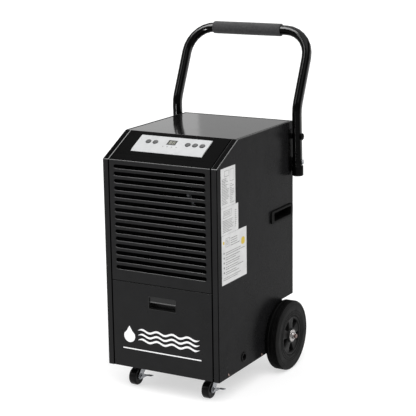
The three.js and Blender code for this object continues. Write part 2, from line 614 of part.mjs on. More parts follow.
// ---- front casters ----
const CASTER_TOP = BOTTOM - GAP;
const AX_Y = CASTER_Y - CASTER_TRAIL;
const FORK_TOP = 54;
for (const [side, s] of [['left', -1], ['right', 1]]) {
  const cx = s * CASTER_X;
  const plateOutline = roundRect(cx, CASTER_Y, 50, 60, 6);
  const holes = [[-17, -22], [17, -22], [-17, 22], [17, 22]].map(
    ([x, y]) => rod('z', 3.2, 60, 70, cx + x, CASTER_Y + y, 8),
  );
  piece(`caster_plate_${side}`, cut(join(
    prism('z', plateOutline, CASTER_TOP - 2.5, CASTER_TOP),
    turned('z', [[0, 48.6], [8, 48.6], [8, 51.7], [5, 51.7], [5, 54.3], [18, 54.3], [18, 59],
      [15, CASTER_TOP - 2], [0, CASTER_TOP - 2]], [cx, CASTER_Y, 0], 14),
  ), ...holes), zinc);

  const eye = [];
  for (let i = 0; i <= 6; i += 1) {
    const a = Math.PI * (0.85 + (i * 1.05) / 6);
    eye.push([AX_Y + 9 * Math.cos(a), CASTER_R + 9 * Math.sin(a)]);
  }
  const leg = [[CASTER_Y + 15, FORK_TOP], [CASTER_Y - 15, FORK_TOP], ...eye, [CASTER_Y + 15, 46]];
  piece(`caster_fork_${side}`, cut(join(
    prism('z', roundRect(cx, CASTER_Y, 28, 30, 2), FORK_TOP - 2, FORK_TOP),
    ...[-1, 1].map((t) => prism('x', leg, cx + t * 13 - 1, cx + t * 13 + 1)),
    rod('x', 3, cx - 16, cx + 20.6, AX_Y, CASTER_R, 12),
    rod('x', 5.6, cx - 18, cx - 13.5, AX_Y, CASTER_R, 12),
    rod('x', 5.6, cx + 16.6, cx + 20.6, AX_Y, CASTER_R, 12),
  ), rod('z', 5 + GAP, 40, 60, cx, CASTER_Y, 16)), zinc);

  piece(`caster_wheel_${side}`, turned('x', [[3 + GAP, -11.6], [8, -11.6], [10, -9.5],
    [18, -11], [22.5, -11], [CASTER_R, -8], [CASTER_R, 8], [22.5, 11], [18, 11], [10, 9.5], [8, 11.6],
    [3 + GAP, 11.6]], [cx, AX_Y, CASTER_R], 20), rubber);

  const arm = [[AX_Y - 7, CASTER_R - 2], [AX_Y - 4, CASTER_R - 7], [AX_Y + 4, CASTER_R - 8],
    [AX_Y + 42, 15.4], [AX_Y + 42, 17.4], [AX_Y + 12, CASTER_R + 4], [AX_Y + 4, CASTER_R + 8],
    [AX_Y - 4, CASTER_R + 7]];
  const pedal = [[AX_Y + 28, 17.6], [AX_Y + 42, 15.4], [AX_Y + 44, 17.4], [AX_Y + 29, 20.2]];
  piece(`caster_brake_${side}`, cut(join(
    prism('x', arm, cx + 14.4, cx + 16.2),
    prism('x', pedal, cx + 14.4, cx + 30),
  ), rod('x', 3 + GAP, cx, cx + 30, AX_Y, CASTER_R, 12)), zinc);
}

// ---- folding handle ----
const legDown = new V3(0, PIVOT_Y - KINK_Y, PIVOT_Z - KINK_Z).normalize();
const legEnd = new V3(LEG_X, KINK_Y, KINK_Z).addScaledVector(legDown, (KINK_Z - LEG_END_Z) / -legDown.z);
const handleCorners = [
  [legEnd.x, legEnd.y, legEnd.z],
  [LEG_X, KINK_Y, KINK_Z],
  [LEG_X, BAR_Y, BAR_Z],
  [-LEG_X, BAR_Y, BAR_Z],
  [-LEG_X, KINK_Y, KINK_Z],
  [-legEnd.x, legEnd.y, legEnd.z],
];
const handlePath = roundedPath(handleCorners, [70, BEND_R, BEND_R, 70], 0.225);
const latchY = KINK_Y + (PIVOT_Y - KINK_Y) * ((KINK_Z - LATCH_Z) / (KINK_Z - PIVOT_Z));
piece('handle_tube', cut(
  solid(pipe(handlePath, TUBE_R, TUBE_R - 2, 20)),
  rod('x', 4 + GAP, -220, 220, PIVOT_Y, PIVOT_Z, 16),
  ...[-1, 1].map((s) => rod('x', 3 + GAP, s * 210 - 14, s * 210 + 14, latchY, LATCH_Z, 16)),
), gloss);

piece('handle_grip', turned('x', [[TUBE_R + GAP, -119], [GRIP_R - 1, -119], [GRIP_R, -118],
  [GRIP_R, 101], [GRIP_R - 1, 102], [TUBE_R + GAP, 102]], [0, BAR_Y, BAR_Z], 24), foam);

const BRACKET_X = HALF_W + GAP;
pair('handle_bracket', cut(join(
  prism('x', roundRect(210, 632, 27, 122, 5), BRACKET_X, BRACKET_X + 2.3),
  rod('x', 11, BRACKET_X + 1, LEG_X - TUBE_R - GAP, PIVOT_Y, PIVOT_Z, 18),
  rod('x', 8, BRACKET_X + 1, LEG_X - TUBE_R - GAP, latchY, LATCH_Z, 14),
), rod('x', 4 + GAP, 170, 200, PIVOT_Y, PIVOT_Z, 16)), black);

const TUBE_OUT = LEG_X + TUBE_R + GAP;
pair('pivot_bolt', join(
  rod('x', 4, 168, TUBE_OUT + 1, PIVOT_Y, PIVOT_Z, 16),
  rod('x', 7.5, TUBE_OUT, TUBE_OUT + 3.4, PIVOT_Y, PIVOT_Z, 6),
), zinc);

pair('lock_knob', join(
  rod('x', 3, 192, TUBE_OUT + 1, latchY, LATCH_Z, 16),
  turned('x', [[0, TUBE_OUT], [9, TUBE_OUT], [10, TUBE_OUT + 1], [10, TUBE_OUT + 2.4],
    [8, TUBE_OUT + 4], [4, TUBE_OUT + 5], [0, TUBE_OUT + 5.2]], [0, latchY, LATCH_Z], 20),
), black);

const capTilt = Math.atan2(legDown.y, -legDown.z);
const CAP_R = TUBE_R + 2.4;
const capProfile = [[0, -3.5], [CAP_R - 1.5, -3.5], [CAP_R, -2], [CAP_R, 24], [CAP_R - 0.5, 25],
  [TUBE_R + GAP, 25], [TUBE_R + GAP, -0.4], [0, -0.4]];
const cap = new THREE.LatheGeometry(capProfile.map((p) => new THREE.Vector2(...p)), 20);
cap.rotateX(Math.PI / 2 + capTilt).translate(legEnd.x, legEnd.y, legEnd.z);
pair('handle_end_cap', cap, black);

export default group;
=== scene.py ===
import json
import math
import random

import bmesh
import bpy
from mathutils import Matrix, Vector

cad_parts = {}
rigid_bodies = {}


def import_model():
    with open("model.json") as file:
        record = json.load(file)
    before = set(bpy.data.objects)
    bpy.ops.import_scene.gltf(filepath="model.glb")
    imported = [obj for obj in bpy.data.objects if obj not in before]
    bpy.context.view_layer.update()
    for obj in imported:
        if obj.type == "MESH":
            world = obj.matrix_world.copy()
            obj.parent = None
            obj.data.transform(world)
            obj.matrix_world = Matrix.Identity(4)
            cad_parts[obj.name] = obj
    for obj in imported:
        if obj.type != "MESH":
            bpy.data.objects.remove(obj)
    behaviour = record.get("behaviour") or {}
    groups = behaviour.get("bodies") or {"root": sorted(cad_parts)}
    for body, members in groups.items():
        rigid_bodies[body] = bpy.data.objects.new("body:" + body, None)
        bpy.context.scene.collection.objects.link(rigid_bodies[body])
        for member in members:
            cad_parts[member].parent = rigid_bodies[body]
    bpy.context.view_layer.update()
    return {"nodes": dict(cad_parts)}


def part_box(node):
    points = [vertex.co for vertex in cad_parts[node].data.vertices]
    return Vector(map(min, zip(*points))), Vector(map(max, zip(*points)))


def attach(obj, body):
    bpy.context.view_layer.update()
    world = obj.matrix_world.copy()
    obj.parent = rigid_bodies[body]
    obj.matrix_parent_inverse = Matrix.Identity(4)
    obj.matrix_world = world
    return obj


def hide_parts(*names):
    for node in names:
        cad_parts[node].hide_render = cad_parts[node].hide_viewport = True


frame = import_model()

scene = bpy.context.scene

# ---- places, in metres, as in the CAD model ----
FRONT_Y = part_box("tank_front")[0].y
SIDE_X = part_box("side_panel_right")[1].x
FLANGE_X = 0.160
PANEL_X = 0.1584
TANK_TOP_Z = 0.3145
GRILLE_Z = 0.3155
SLOT_FIRST_Z = 0.3542
SLOT_PITCH = 0.0202
SLOT_HALF_H = 0.0057
SLOPE_FOOT_Z = 0.655
SLOPE_HEAD_Y = -0.15585
TOP_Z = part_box("top_panel")[1].z
TILT = math.atan2(TOP_Z - SLOPE_FOOT_Z, SLOPE_HEAD_Y - FRONT_Y)
BEZEL_N = 0.0033
WHEEL_Y = 0.09035
WHEEL_R = 0.1014


# ---- camera: from the front right, a little above, long lens ----
CAMERA_PLACE = (1.930869, -3.398302, 1.393634)
CAMERA_AZIMUTH, CAMERA_ELEVATION, CAMERA_ROLL = 0.517963, 0.230271, -0.014220
CAMERA_LENS = 121.583


def make_camera():
    azimuth, elevation, roll = CAMERA_AZIMUTH, CAMERA_ELEVATION, CAMERA_ROLL
    back = Vector((
        math.sin(azimuth) * math.cos(elevation),
        -math.cos(azimuth) * math.cos(elevation),
        math.sin(elevation),
    ))
    right = (-back).cross(Vector((0, 0, 1))).normalized()
    up = right.cross(-back)
    c, s = math.cos(roll), math.sin(roll)
    axes = Matrix((c * right + s * up, -s * right + c * up, back)).transposed()
    camera = bpy.data.objects.new("camera", bpy.data.cameras.new("camera"))
    camera.data.sensor_width = 36
    camera.data.lens = CAMERA_LENS
    camera.data.clip_end = 200
    camera.matrix_world = Matrix.Translation(CAMERA_PLACE) @ axes.to_4x4()
    scene.collection.objects.link(camera)
    scene.camera = camera


# ---- materials ----
def node(tree, kind, **inputs):
    made = tree.nodes.new(kind)
    for key, value in inputs.items():
        made.inputs[key].default_value = value
    return made


def new_material(name):
    material = bpy.data.materials.new(name)
    material.use_nodes = True
    tree = material.node_tree
    return material, tree, tree.nodes["Principled BSDF"]


def noise(tree, coords, scale, detail):
    texture = node(tree, "ShaderNodeTexNoise", Scale=scale, Detail=detail)
    tree.links.new(coords, texture.inputs["Vector"])
    return texture.outputs["Fac"]


def cells(tree, coords, scale):
    texture = node(tree, "ShaderNodeTexVoronoi", Scale=scale)
    tree.links.new(coords, texture.inputs["Vector"])
    return texture.outputs["Distance"]


def spread(tree, value, low, high):
    """Stretch the middle of a noise over the range from low to high."""
    ranged = node(tree, "ShaderNodeMapRange")
    for key, number in (("From Min", 0.3), ("From Max", 0.7), ("To Min", low), ("To Max", high)):
        ranged.inputs[key].default_value = number
    tree.links.new(value, ranged.inputs["Value"])
    return ranged.outputs["Result"]


def two_tone(tree, value, dark, light):
    mix = tree.nodes.new("ShaderNodeMix")
    mix.data_type = "RGBA"
    mix.inputs["A"].default_value = (*dark, 1)
    mix.inputs["B"].default_value = (*light, 1)
    tree.links.new(value, mix.inputs["Factor"])
    return mix.outputs["Result"]


def bumps(tree, shader, layers):
    """Stack bump layers of (height, depth in metres)."""
    normal = None
    for height, depth in layers:
        bump = node(tree, "ShaderNodeBump", Strength=1.0, Distance=depth)
        tree.links.new(height, bump.inputs["Height"])
        if normal:
            tree.links.new(normal, bump.inputs["Normal"])
        normal = bump.outputs["Normal"]
    tree.links.new(normal, shader.inputs["Normal"])


def surface(name, dark, light, rough, metallic=0.0, specular=0.5, mottle=25.0, grain=900.0,
            depth=0.00002, broad=0.0, sheen=0.0, pores=None):
    """A finish with mottled colour, uneven gloss and a fine surface grain; depths are in metres."""
    material, tree, shader = new_material(name)
    coords = node(tree, "ShaderNodeTexCoord").outputs["Object"]
    patches = spread(tree, noise(tree, coords, mottle, 5.0), 0.0, 1.0)
    tree.links.new(two_tone(tree, patches, dark, light), shader.inputs["Base Color"])
    smears = noise(tree, coords, mottle * 0.6 + 3, 4.0)
    tree.links.new(spread(tree, smears, *rough), shader.inputs["Roughness"])
    layers = [(noise(tree, coords, grain, 2.0), depth)]
    if broad:
        layers.append((noise(tree, coords, 9.0, 1.0), broad))
    if pores:
        layers.append((cells(tree, coords, pores[0]), pores[1]))
    bumps(tree, shader, layers)
    shader.inputs["Metallic"].default_value = metallic
    shader.inputs["Specular IOR Level"].default_value = specular
    shader.inputs["Sheen Weight"].default_value = sheen
    return material


def grey(value):
    return value, value, value


FINISH = {
    # front_paint, side_paint and top_paint stand for one black paint: each copy is set darker or
    # lighter, duller or glossier, to give the light and shade its face shows, as painted light.
    "front_paint": surface("front_paint", (0.0055, 0.0055, 0.0058), (0.0075, 0.0075, 0.0079),
                           (0.26, 0.34), specular=0.15, grain=700, depth=0.000012),
    "side_paint": surface("side_paint", (0.0066, 0.0066, 0.007), (0.0092, 0.0092, 0.0096),
                          (0.22, 0.3), specular=0.03, grain=700, depth=0.000012),
    # edge_gloss: the black paint made lighter and far more reflective on rounded folds and rims, a
    # painted highlight along the edges.
    "edge_gloss": surface("edge_gloss", grey(0.008), grey(0.012), (0.16, 0.24),
                          specular=0.75, grain=500, depth=0.000006),
    # seam_dark: near-black faces that reflect nothing, laid along seams and just inside the top's
    # rim as painted shade.
    "seam_dark": surface("seam_dark", grey(0.0008), grey(0.0014), (0.7, 0.8),
                         specular=0.0, grain=500, depth=0.000006),
    # inner_black: a near-black, dull finish for the parts inside the cabinet so the slots look
    # dark; partly their own black, partly painted shade.
    "inner_black": surface("inner_black", grey(0.0015), grey(0.003), (0.6, 0.75),
                           specular=0.02, grain=900, depth=0.00003),
    "top_paint": surface("top_paint", grey(0.006), grey(0.009), (0.07, 0.12),
                         specular=0.32, grain=500, depth=0.000004),
    # slope_gloss: the glossy black of the slope, with its colour and reflection turned far down to
    # give the slope's shade: real gloss with painted shade.
    "slope_gloss": surface("slope_gloss", grey(0.0004), grey(0.0009), (0.1, 0.16),
                           specular=0.004, grain=600, depth=0.000004),
    "tube_gloss": surface("tube_gloss", grey(0.0008), grey(0.0018), (0.06, 0.11),
                          specular=0.04, grain=300, depth=0.000006),
    "bracket_black": surface("bracket_black", grey(0.0008), grey(0.002), (0.3, 0.42),
                             specular=0.05, grain=1400, depth=0.00003),
    "black_plastic": surface("black_plastic", grey(0.003), grey(0.006), (0.38, 0.5),
                             specular=0.12, grain=1400, depth=0.00003),
    "grip_plastic": surface("grip_plastic", grey(0.0025), grey(0.0045), (0.3, 0.42),
                            specular=0.02, grain=1400, depth=0.00003),
    "pull_plastic": surface("pull_plastic", grey(0.005), grey(0.009), (0.3, 0.4),
                            specular=0.3, grain=1400, depth=0.00002),
    "net_grey": surface("net_grey", (0.018, 0.018, 0.019), (0.032, 0.032, 0.033), (0.5, 0.65),
                        specular=0.3, mottle=150, grain=1500),
    # bead_grey: a grey far lighter than the pull's plastic, a painted highlight along the pull's
    # flap.
    "bead_grey": surface("bead_grey", grey(0.055), grey(0.080), (0.25, 0.35),
                         specular=0.5, mottle=90, grain=900),
    "hub_plastic": surface("hub_plastic", grey(0.005), grey(0.009), (0.42, 0.55),
                           specular=0.10, grain=1500, depth=0.00004),
    "tyre_rubber": surface("tyre_rubber", grey(0.0045), (0.009, 0.009, 0.0088), (0.5, 0.66),
                           specular=0.08, mottle=40, grain=1200, depth=0.00005),
    # tread_rubber: the tyre rubber made darker and duller for the tread, as painted shade.
    "tread_rubber": surface("tread_rubber", grey(0.0008), grey(0.0022), (0.5, 0.66),
                            specular=0.02, mottle=60, grain=1200, depth=0.00005),
    "caster_rubber": surface("caster_rubber", grey(0.002), grey(0.004), (0.16, 0.26),
                             specular=0.10, mottle=60, grain=1600, depth=0.00002),
    "grip_foam": surface("grip_foam", (0.022, 0.022, 0.023), (0.040, 0.040, 0.041), (0.85, 0.95),
                         specular=0.25, mottle=160, grain=900, depth=0.0001, sheen=0.15,
                         pores=(650, 0.00025)),
    # zinc: its wide dark-to-light mottle stands in for the dark and bright reflections in the
    # plating, painted reflection over the metal's own slight unevenness.
    "zinc": surface("zinc", (0.16, 0.17, 0.18), (0.52, 0.53, 0.55), (0.14, 0.28), metallic=1.0,
                    mottle=160, grain=1500, depth=0.00002),
    "bolt_end": surface("bolt_end", (0.10, 0.06, 0.055), (0.30, 0.22, 0.20), (0.25, 0.4),
                        metallic=1.0, mottle=260, grain=1500, depth=0.00003),
    "steel_bright": surface("steel_bright", (0.20, 0.19, 0.19), (0.50, 0.48, 0.47), (0.12, 0.25),
                            metallic=1.0, mottle=200, grain=1500, depth=0.00002),
    "overlay_film": surface("overlay_film", (0.45, 0.455, 0.46), (0.51, 0.515, 0.52), (0.3, 0.4),
                            specular=0.08, mottle=30, grain=2200, depth=0.00001),
    "label_vinyl": surface("label_vinyl", grey(0.55), (0.63, 0.63, 0.625), (0.35, 0.45),
                           specular=0.3, mottle=35, grain=500, depth=0.00001, broad=0.0002),
    "label_ink": surface("label_ink", (0.06, 0.06, 0.063), grey(0.13), (0.45, 0.55),
                         specular=0.3, mottle=200),
    "label_yellow": surface("label_yellow", (0.50, 0.36, 0.02), (0.62, 0.46, 0.04), (0.4, 0.5),
                            specular=0.3, mottle=90),
    "print_white": surface("print_white", (0.80, 0.80, 0.81), grey(0.88), (0.35, 0.45),
                           specular=0.3, mottle=60, grain=1800, depth=0.00001),
    "print_grey": surface("print_grey", (0.38, 0.385, 0.39), (0.46, 0.465, 0.47), (0.4, 0.5),
                          specular=0.3, mottle=120),
    "key_rubber": surface("key_rubber", (0.020, 0.020, 0.021), (0.034, 0.034, 0.035), (0.3, 0.42),
                          specular=0.2, mottle=220, grain=1800, depth=0.00001),
    "lens_glass": surface("lens_glass", (0.008, 0.009, 0.006), (0.013, 0.014, 0.010), (0.08, 0.14),
                          specular=0.08, mottle=80),
    "digit_print": surface("digit_print", (0.20, 0.20, 0.14), (0.26, 0.26, 0.18), (0.3, 0.4),
                           mottle=300),
    "lamp_lens": surface("lamp_lens", (0.10, 0.10, 0.09), (0.16, 0.16, 0.14), (0.15, 0.25),
                         mottle=300),
    "tank_plastic": surface("tank_plastic", (0.42, 0.44, 0.45), (0.50, 0.52, 0.53), (0.35, 0.5),
                            mottle=20, grain=600, depth=0.00003),
    "fin_aluminium": surface("fin_aluminium", (0.52, 0.53, 0.55), (0.66, 0.67, 0.69), (0.3, 0.45),
                             metallic=1.0, mottle=50, grain=900),
    "motor_paint": surface("motor_paint", (0.012, 0.012, 0.013), (0.022, 0.022, 0.023), (0.35, 0.5),
                           mottle=30, grain=800),
    "float_foam": surface("float_foam", (0.62, 0.62, 0.60), (0.74, 0.74, 0.72), (0.7, 0.85),
                          mottle=90, grain=600, depth=0.00008),
    "board_green": surface("board_green", (0.01, 0.07, 0.025), (0.02, 0.11, 0.04), (0.35, 0.5),
                           mottle=250),
}

# Parts inside the cabinet, pipes and evaporator coil included, take inner_black: painted shade
# behind the slots.
BY_NODE = {
    "base_pan": "side_paint", "deck": "inner_black", "control_board": "board_green",
    "drip_tray": "inner_black", "evaporator_coil": "inner_black",
    "condenser_coil": "fin_aluminium", "fan_shroud": "inner_black", "fan_motor": "inner_black",
    "fan_rotor": "inner_black", "compressor": "motor_paint", "hot_gas_pipe": "inner_black",
    "suction_pipe": "inner_black", "water_tank": "tank_plastic", "float_arm": "float_foam",
    "air_filter": "black_plastic", "rear_axle": "bolt_end", "indicator_lights": "lamp_lens",
    "display_window": "lens_glass",
}


# ---- mesh helpers; the last line is the order of a folded piece's finishes ----
WELD = 0.000004
FOLD_ANGLE = 20
EDGE_ANGLE = 32
# HIGHLIGHT faces take the painted edge highlight, and SHADE faces take the painted seam shade.
PLAIN, HIGHLIGHT, SHADE, SLOPE, FRONT = range(5)


def add_piece(name, mesh, finish, body):
    piece = bpy.data.objects.new(name, mesh)
    mesh.materials.append(FINISH[finish])
    scene.collection.objects.link(piece)
    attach(piece, body)
    return piece


def mesh_from(bm, name, smooth=35):
    """Close the bmesh into a mesh with smooth faces that keeps its sharp edges."""
    bmesh.ops.recalc_face_normals(bm, faces=bm.faces)
    mesh = bpy.data.meshes.new(name)
    bm.to_mesh(mesh)
    bm.free()
    mesh.polygons.foreach_set("use_smooth", [True] * len(mesh.polygons))
    mesh.set_sharp_from_angle(angle=math.radians(smooth))
    return mesh


def harden(mesh, flat_area):
    """Large faces keep their own normal, and the small faces of rounded edges blend into them."""
    flats = {}
    rounds = {}
    for face in mesh.polygons:
        table = flats if face.area > flat_area else rounds
        for v in face.vertices:
            table.setdefault(v, []).append(face)
    normals = []
    for face in mesh.polygons:
        for v in face.vertices:
            if face.area > flat_area:
                normals.append(face.normal.copy())
                continue
            near_faces = [f for f in flats.get(v, rounds[v]) if f.normal.dot(face.normal) > 0.6]
            total = Vector(face.normal) * face.area * 0.001
            for f in near_faces:
                total += f.normal * f.area
            normals.append(total.normalized())
    mesh.polygons.foreach_set("use_smooth", [True] * len(mesh.polygons))
    mesh.normals_split_custom_set(normals)


def sharp_edges(bm, angle, test=None):
    limit = math.radians(angle)
    found = [e for e in bm.edges if e.is_manifold and e.calc_face_angle() > limit]
    return [e for e in found if test is None or test((e.verts[0].co + e.verts[1].co) / 2, e)]


def round_edges(bm, edges, radius, segments, material=-1):
    if edges:
        bmesh.ops.bevel(bm, geom=edges, offset=radius, offset_type="OFFSET", segments=segments,
                        profile=0.5, affect="EDGES", clamp_overlap=True, material=material)


def finish_node(node_name, finish, radius, folds=None, flat_area=None):
    """A carried-over CAD part with its folds and edges rounded, standing for the CAD node.

    `folds` is (edge test, radius, which finish each new face takes); new fold faces take the
    painted edge highlight, the painted seam shade or the plain paint. On a piece with folds, faces
    of the slope take the slope's shaded copy of the paint, and a side panel's forward faces take
    the front's shaded copy, as painted shade.
    """
    source = frame["nodes"][node_name]
    bm = bmesh.new()
    bm.from_mesh(source.data)
    bmesh.ops.remove_doubles(bm, verts=bm.verts, dist=WELD)
    bmesh.ops.dissolve_limit(bm, angle_limit=math.radians(0.5), verts=bm.verts, edges=bm.edges)
    if folds:
        test, fold_radius, pick = folds
        round_edges(bm, sharp_edges(bm, FOLD_ANGLE, test), fold_radius, 3, material=HIGHLIGHT)
        # Faces are given copies of the paint by the way they face: painted light and shade.
        for face in bm.faces:
            if face.material_index == HIGHLIGHT:
                face.material_index = pick(face.calc_center_median())
            elif face.normal.y < -0.3 and face.normal.z > 0.3:
                face.material_index = SLOPE
            elif face.normal.y < -0.9 and node_name.startswith("side_panel"):
                face.material_index = FRONT
    if radius:
        round_edges(bm, sharp_edges(bm, EDGE_ANGLE), radius, 2)
    mesh = mesh_from(bm, node_name + "_finished")
    if flat_area:
        harden(mesh, flat_area)
    body = source.parent.name.split(":", 1)[1]
    piece = add_piece(node_name + "_finished", mesh, finish, body)
    if folds:
        for extra in ("edge_gloss", "seam_dark", "slope_gloss", "front_paint"):
            mesh.materials.append(FINISH[extra])
    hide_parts(node_name)
    return piece


make_camera()

# ---- sheet metal and panels; a face larger than its FLAT area, in m2, keeps its own normal ----
SHEET_FLAT = 0.00003
MOULDED_FLAT = 0.00002
SIDE_FOLD, TOP_FOLD, PANEL_FOLD, TANK_FOLD = 0.0026, 0.0020, 0.0020, 0.0012
SKIN = 0.0004
SLOT_ROWS = 15


def near(value, target, tolerance=0.0006):
    return abs(value - target) < tolerance


def crossing(edge):
    """How much of an edge runs across the cabinet, from 0 to 1."""
    return abs((edge.verts[1].co - edge.verts[0].co).normalized().x)


def outward(point):
    """Depth of a point behind the nearer of the cabinet's front and slope faces."""
    depth = point.y - FRONT_Y
    slope_depth = math.sin(TILT) * (point.y - FRONT_Y) - math.cos(TILT) * (point.z - SLOPE_FOOT_Z)
    return min(depth, slope_depth)


def at_foot(point):
    return near(point.z, SLOPE_FOOT_Z) and near(point.y, FRONT_Y)


def side_fold(point, edge):
    """Bends, flange edges and top edge of a side panel."""
    if crossing(edge) > 0.9:
        return at_foot(point)
    corner = near(abs(point.x), SIDE_X) and (outward(point) < SKIN or near(point.z, TOP_Z))
    return corner or (near(abs(point.x), FLANGE_X) and outward(point) < SKIN)


def front_line(point):
    """Upright lines on the front take the painted seam shade; those of the slope and the top take
    the painted edge highlight.
    """
    return SHADE if point.z < SLOPE_FOOT_Z - 0.002 else HIGHLIGHT


def panel_fold(point, edge):
    """Outer edges of the panels between the flanges, their bend and the slots' lower lips."""
    if near(abs(point.x), PANEL_X) and crossing(edge) < 0.1:
        return outward(point) < SKIN
    on_front = near(point.y, FRONT_Y)
    if at_foot(point) or (on_front and (near(point.z, TANK_TOP_Z) or near(point.z, GRILLE_Z))):
        return crossing(edge) > 0.9
    row = round((point.z - SLOT_FIRST_Z) / SLOT_PITCH)
    drop = SLOT_FIRST_Z + row * SLOT_PITCH - point.z
    return on_front and 0 <= row < SLOT_ROWS and 0.6 * SLOT_HALF_H < drop < 1.1 * SLOT_HALF_H


def panel_line(point):
    """Seams against the flanges and under the grille take painted shade, the other folds the
    painted edge highlight.
    """
    if abs(point.x) > PANEL_X - 0.0025 or GRILLE_Z - 0.0003 < point.z < GRILLE_Z + 0.003:
        return SHADE
    return PLAIN if near(point.z, TANK_TOP_Z, 0.002) else HIGHLIGHT


def top_rim(point, _edge):
    return near(point.z, TOP_Z) and point.y > SLOPE_HEAD_Y + 0.003


for side in ("left", "right"):
    finish_node(f"side_panel_{side}", "side_paint", radius=0.0004, flat_area=SHEET_FLAT,
                folds=(side_fold, SIDE_FOLD, front_line))
# The top sheet's rim folds all take the painted seam shade.
finish_node("top_panel", "top_paint", radius=0.0005, flat_area=SHEET_FLAT,
            folds=(top_rim, TOP_FOLD, lambda point: SHADE))
finish_node("front_grille", "front_paint", radius=0.0005, flat_area=SHEET_FLAT,
            folds=(panel_fold, PANEL_FOLD, panel_line))
finish_node("tank_front", "front_paint", radius=0.0006, flat_area=SHEET_FLAT,
            folds=(panel_fold, TANK_FOLD, panel_line))
finish_node("control_panel", "slope_gloss", radius=0.0004, flat_area=SHEET_FLAT,
            folds=(panel_fold, PANEL_FOLD, panel_line))
finish_node("control_bezel", "overlay_film", radius=0.0003, flat_area=SHEET_FLAT)
finish_node("rear_panel", "side_paint", radius=0.0006, flat_area=SHEET_FLAT)
finish_node("tank_pull", "pull_plastic", radius=0.0006, flat_area=MOULDED_FLAT)
for side in ("left", "right"):
    finish_node(f"side_grip_{side}", "grip_plastic", radius=0.0004, flat_area=MOULDED_FLAT)
    finish_node(f"handle_bracket_{side}", "bracket_black", radius=0.0006, flat_area=MOULDED_FLAT)
    finish_node(f"lock_knob_{side}", "bracket_black", radius=0.0006)
    finish_node(f"handle_end_cap_{side}", "bracket_black", radius=0.0006)
    finish_node(f"pivot_bolt_{side}", "zinc", radius=0.0004)
    finish_node(f"axle_nut_{side}", "steel_bright", radius=0.0004)
    finish_node(f"caster_plate_{side}", "zinc", radius=0.0004)
    finish_node(f"caster_fork_{side}", "zinc", radius=0.0004)
    finish_node(f"caster_brake_{side}", "zinc", radius=0.0003)
    finish_node(f"caster_wheel_{side}", "caster_rubber", radius=0.0006)
    finish_node(f"wheel_hub_{side}", "hub_plastic", radius=0.0007)
finish_node("drain_port", "bracket_black", radius=0.0003)
finish_node("power_gland", "black_plastic", radius=0.0004)
for key in ("left_outer", "left_inner", "right_inner", "right_middle", "right_outer"):
    finish_node(f"button_{key}", "key_rubber", radius=0.0003)

# ---- handle ----
TUBE_R = 0.014
LEG_X = 0.1975
BAR_Y, BAR_Z = 0.25605, 0.9636
KINK_Y, KINK_Z = 0.16115, 0.7545
LEG_END_Y, LEG_END_Z = 0.168, 0.5625
TUBE_BENDS = (0.070, 0.080, 0.080, 0.070)


def rounded_route(corners, radii):
    """Points along a polyline whose corners are rounded with the given radii."""
    corners = [Vector(c) for c in corners]
    route = [corners[0]]
    for before, corner, after, radius in zip(corners, corners[1:], corners[2:], radii):
        d0, d1 = (corner - before).normalized(), (after - corner).normalized()
        angle = d0.angle(d1)
        start = corner - d0 * radius * math.tan(angle / 2)
        side = (d1 - d0 * d0.dot(d1)).normalized()
        count = max(2, round(angle / 0.05))
        for k in range(count + 1):
            t = angle * k / count
            route.append(start + d0 * radius * math.sin(t) + side * radius * (1 - math.cos(t)))
    return route + [corners[-1]]


def nearest_on_route(point, route):
    """The shortest way from the route to a point."""
    best = None
    for a, b in zip(route, route[1:]):
        along = b - a
        t = min(1.0, max(0.0, (point - a).dot(along) / along.length_squared))
        gap = point - a - along * t
        if best is None or gap.length_squared < best.length_squared:
            best = gap
    return best


def smooth_tube():
    """The handle tube shaded as one true round, whatever its facets, with its bores left crisp."""
    right = [(LEG_X, LEG_END_Y, LEG_END_Z), (LEG_X, KINK_Y, KINK_Z), (LEG_X, BAR_Y, BAR_Z)]
    left = [(-x, y, z) for x, y, z in reversed(right)]
    route = rounded_route(right + left, TUBE_BENDS)
    tube = finish_node("handle_tube", "tube_gloss", radius=0.0)
    mesh = tube.data
    outward_at = [nearest_on_route(v.co, route).normalized() for v in mesh.vertices]
    normals = []
    for face in mesh.polygons:
        for v in face.vertices:
            facing_out = face.normal.dot(outward_at[v])
            if abs(facing_out) > 0.8:
                normals.append(outward_at[v] * math.copysign(1, facing_out))
            else:
                normals.append(face.normal.copy())
    mesh.normals_split_custom_set(normals)


smooth_tube()


def turned_mesh(name, profile, centre, segments, smooth, ripple=None):
    """Closed ring turned round the x axis: profile points are (radius, x)."""
    bm = bmesh.new()
    rings = []
    for k in range(segments):
        a = 2 * math.pi * k / segments
        ring = []
        for i, (r, x) in enumerate(profile):
            r += ripple(i, k) if ripple else 0.0
            y, z = centre[1] + r * math.cos(a), centre[2] + r * math.sin(a)
            ring.append(bm.verts.new((centre[0] + x, y, z)))
        rings.append(ring)
    for a, b in zip(rings, rings[1:] + rings[:1]):
        for i in range(len(profile)):
            j = (i + 1) % len(profile)
            bm.faces.new((a[i], a[j], b[j], b[i]))
    return mesh_from(bm, name, smooth)


